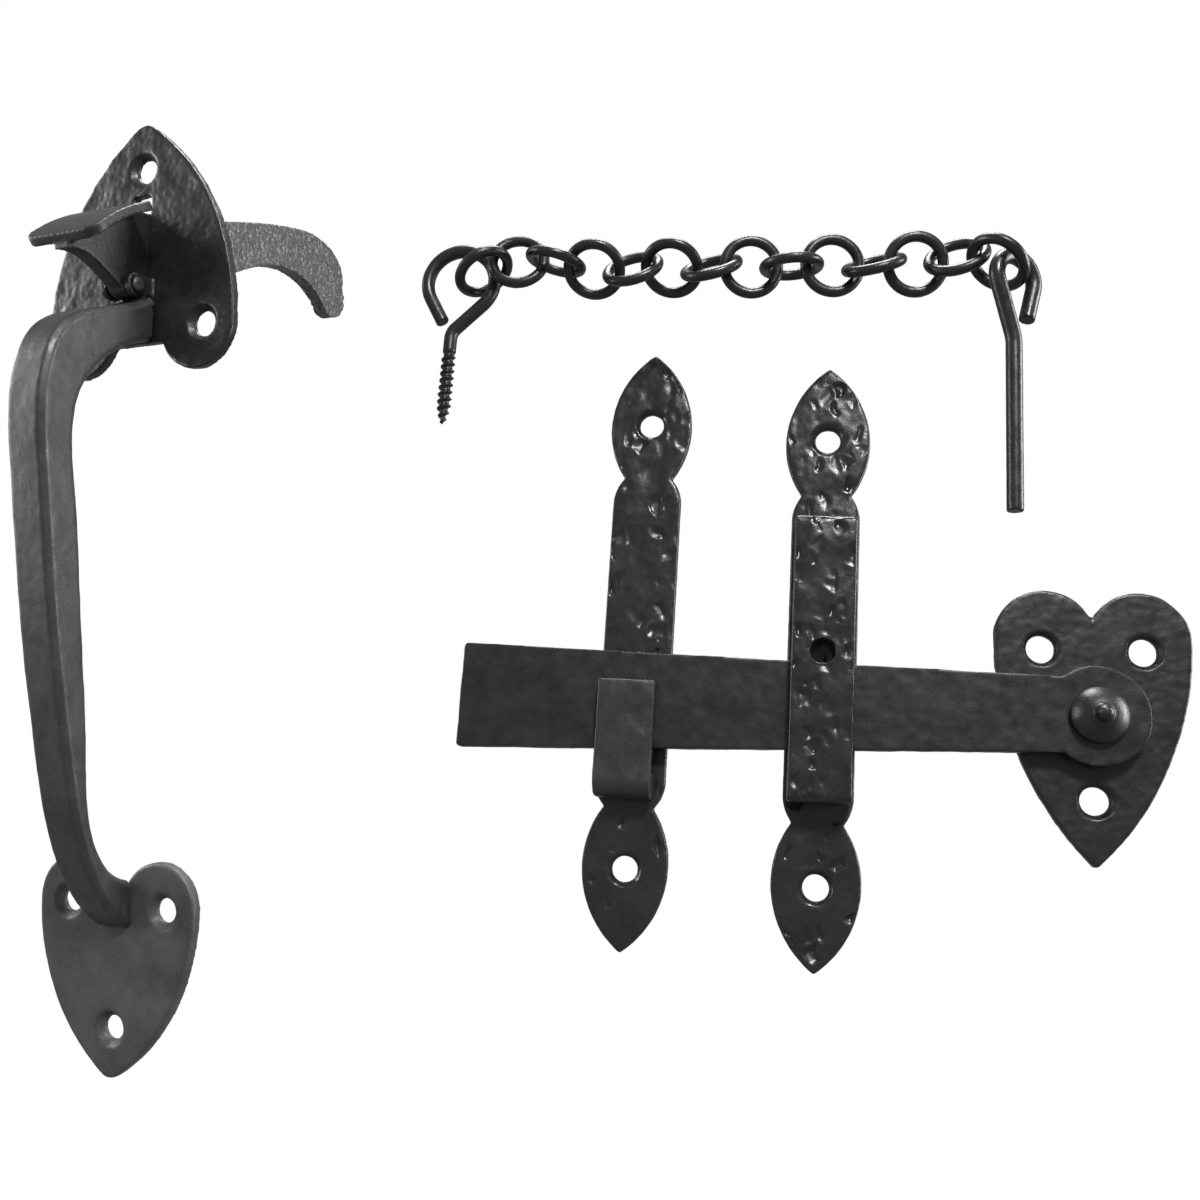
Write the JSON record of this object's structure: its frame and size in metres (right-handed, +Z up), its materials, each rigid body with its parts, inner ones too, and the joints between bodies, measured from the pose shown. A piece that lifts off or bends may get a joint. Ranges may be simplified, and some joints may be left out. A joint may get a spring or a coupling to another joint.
{
  "type": "thumb latch",
  "caption": "Cast-iron thumb latch kit: bowed pull handle with thumb lever, pivoting latch bar, keeper, catch and a safety chain with a drop pin.",
  "frame": {"origin": "back of the heart plate, on the axis that the latch bar turns on", "axes": "+Y towards the door, away from the viewer; +Z up; +X to the right, from the handle towards the heart plate"},
  "size_m": [0.2968, 0.1095, 0.2516],
  "materials": {
    "hammered_iron": "near-black, hand-hammered, satin glints",
    "black_iron": "near-black, smooth satin casting",
    "handle_iron": "dark grey-black, satin casting",
    "rough_iron": "black, rough cast, mottled on the tail",
    "black_wire": "black satin wire"
  },
  "bodies": {
    "plates": {"heart_plate": "black_iron", "pivot_stud": "black_iron", "keeper_strap": "hammered_iron", "keeper_bridge": "hammered_iron", "catch_strap": "hammered_iron", "catch_hook": "hammered_iron", "pull_upper_plate": "handle_iron", "pull_lower_plate": "handle_iron", "pull_grip": "handle_iron", "lever_pin": "handle_iron", "screw_eye": "black_wire"},
    "lever": {"thumb_lever": "rough_iron"},
    "bar": {"latch_bar": "black_iron"},
    "link_01": {"chain_link_01": "black_wire"},
    "link_02": {"chain_link_02": "black_wire"},
    "link_03": {"chain_link_03": "black_wire"},
    "link_04": {"chain_link_04": "black_wire"},
    "link_05": {"chain_link_05": "black_wire"},
    "link_06": {"chain_link_06": "black_wire"},
    "link_07": {"chain_link_07": "black_wire"},
    "link_08": {"chain_link_08": "black_wire"},
    "link_09": {"chain_link_09": "black_wire"},
    "link_10": {"chain_link_10": "black_wire"},
    "link_11": {"chain_link_11": "black_wire"},
    "link_12": {"chain_link_12": "black_wire"},
    "link_13": {"chain_link_13": "black_wire"},
    "link_14": {"chain_link_14": "black_wire"},
    "pin": {"drop_pin": "black_wire"}
  },
  "joints": [
    {"name": "thumb_lever_hinge", "type": "hinge", "parent": "plates", "child": "lever", "pos_m": [-0.24475, -0.03997, 0.09542], "axis": [0.9736, -0.2278, -0.0138], "range_deg": [-14.5, 13]},
    {"name": "latch_bar_hinge", "type": "hinge", "parent": "plates", "child": "bar", "pos_m": [0, -0.0056, 0], "axis": [0, 1, 0], "range_deg": [-2.4, 23]},
    {"name": "ring_01_hinge", "type": "hinge", "parent": "plates", "child": "link_01", "pos_m": [-0.1592, -0.024, 0.1035], "axis": [0, 1, 0], "range_deg": [-68, 64]},
    {"name": "ring_02_hinge", "type": "hinge", "parent": "link_01", "child": "link_02", "pos_m": [-0.14719, -0.0277, 0.10899], "axis": [0, 1, 0], "range_deg": [0, 36]},
    {"name": "ring_03_hinge", "type": "hinge", "parent": "link_02", "child": "link_03", "pos_m": [-0.14063, -0.02535, 0.10979], "axis": [0, -1, 0], "range_deg": [-36, 36]},
    {"name": "ring_04_hinge", "type": "hinge", "parent": "link_03", "child": "link_04", "pos_m": [-0.12844, -0.02192, 0.10745], "axis": [0, 1, 0], "range_deg": [-24, 22]},
    {"name": "ring_05_hinge", "type": "hinge", "parent": "link_04", "child": "link_05", "pos_m": [-0.1179, -0.02228, 0.10519], "axis": [-0.342, 0.7054, -0.6208], "range_deg": [-36, 36]},
    {"name": "ring_06_hinge", "type": "hinge", "parent": "link_05", "child": "link_06", "pos_m": [-0.10767, -0.02438, 0.10817], "axis": [0.1369, -0.6236, -0.7696], "range_deg": [-24, 36]},
    {"name": "ring_07_hinge", "type": "hinge", "parent": "link_06", "child": "link_07", "pos_m": [-0.09794, -0.02256, 0.10481], "axis": [-0.3403, 0.7691, -0.541], "range_deg": [-36, 36]},
    {"name": "ring_08_hinge", "type": "hinge", "parent": "link_07", "child": "link_08", "pos_m": [-0.08767, -0.02437, 0.10815], "axis": [0.1024, -0.7517, -0.6515], "range_deg": [-28, 36]},
    {"name": "ring_09_hinge", "type": "hinge", "parent": "link_08", "child": "link_09", "pos_m": [-0.08048, -0.02167, 0.10666], "axis": [0, -1, 0], "range_deg": [-36, 36]},
    {"name": "ring_10_hinge", "type": "hinge", "parent": "link_09", "child": "link_10", "pos_m": [-0.06792, -0.02633, 0.10674], "axis": [0, 1, 0], "range_deg": [-36, 36]},
    {"name": "ring_11_hinge", "type": "hinge", "parent": "link_10", "child": "link_11", "pos_m": [-0.0577, -0.02257, 0.10592], "axis": [-0.1363, 0.0838, -0.9871], "range_deg": [-36, 36]},
    {"name": "ring_12_hinge", "type": "hinge", "parent": "link_11", "child": "link_12", "pos_m": [-0.04763, -0.02478, 0.10779], "axis": [0, -0.8144, -0.5803], "range_deg": [-36, 36]},
    {"name": "ring_13_hinge", "type": "hinge", "parent": "link_12", "child": "link_13", "pos_m": [-0.03833, -0.02422, 0.10993], "axis": [0.4655, 0.3238, -0.8237], "range_deg": [-36, 28]},
    {"name": "ring_14_hinge", "type": "hinge", "parent": "link_13", "child": "link_14", "pos_m": [-0.03126, -0.02736, 0.10825], "axis": [0, 1, 0], "range_deg": [-36, 36]},
    {"name": "drop_pin_hinge", "type": "hinge", "parent": "link_14", "child": "pin", "pos_m": [-0.01991, -0.02911, 0.10137], "axis": [0, 1, 0], "range_deg": [-52, 20]}
  ]
}
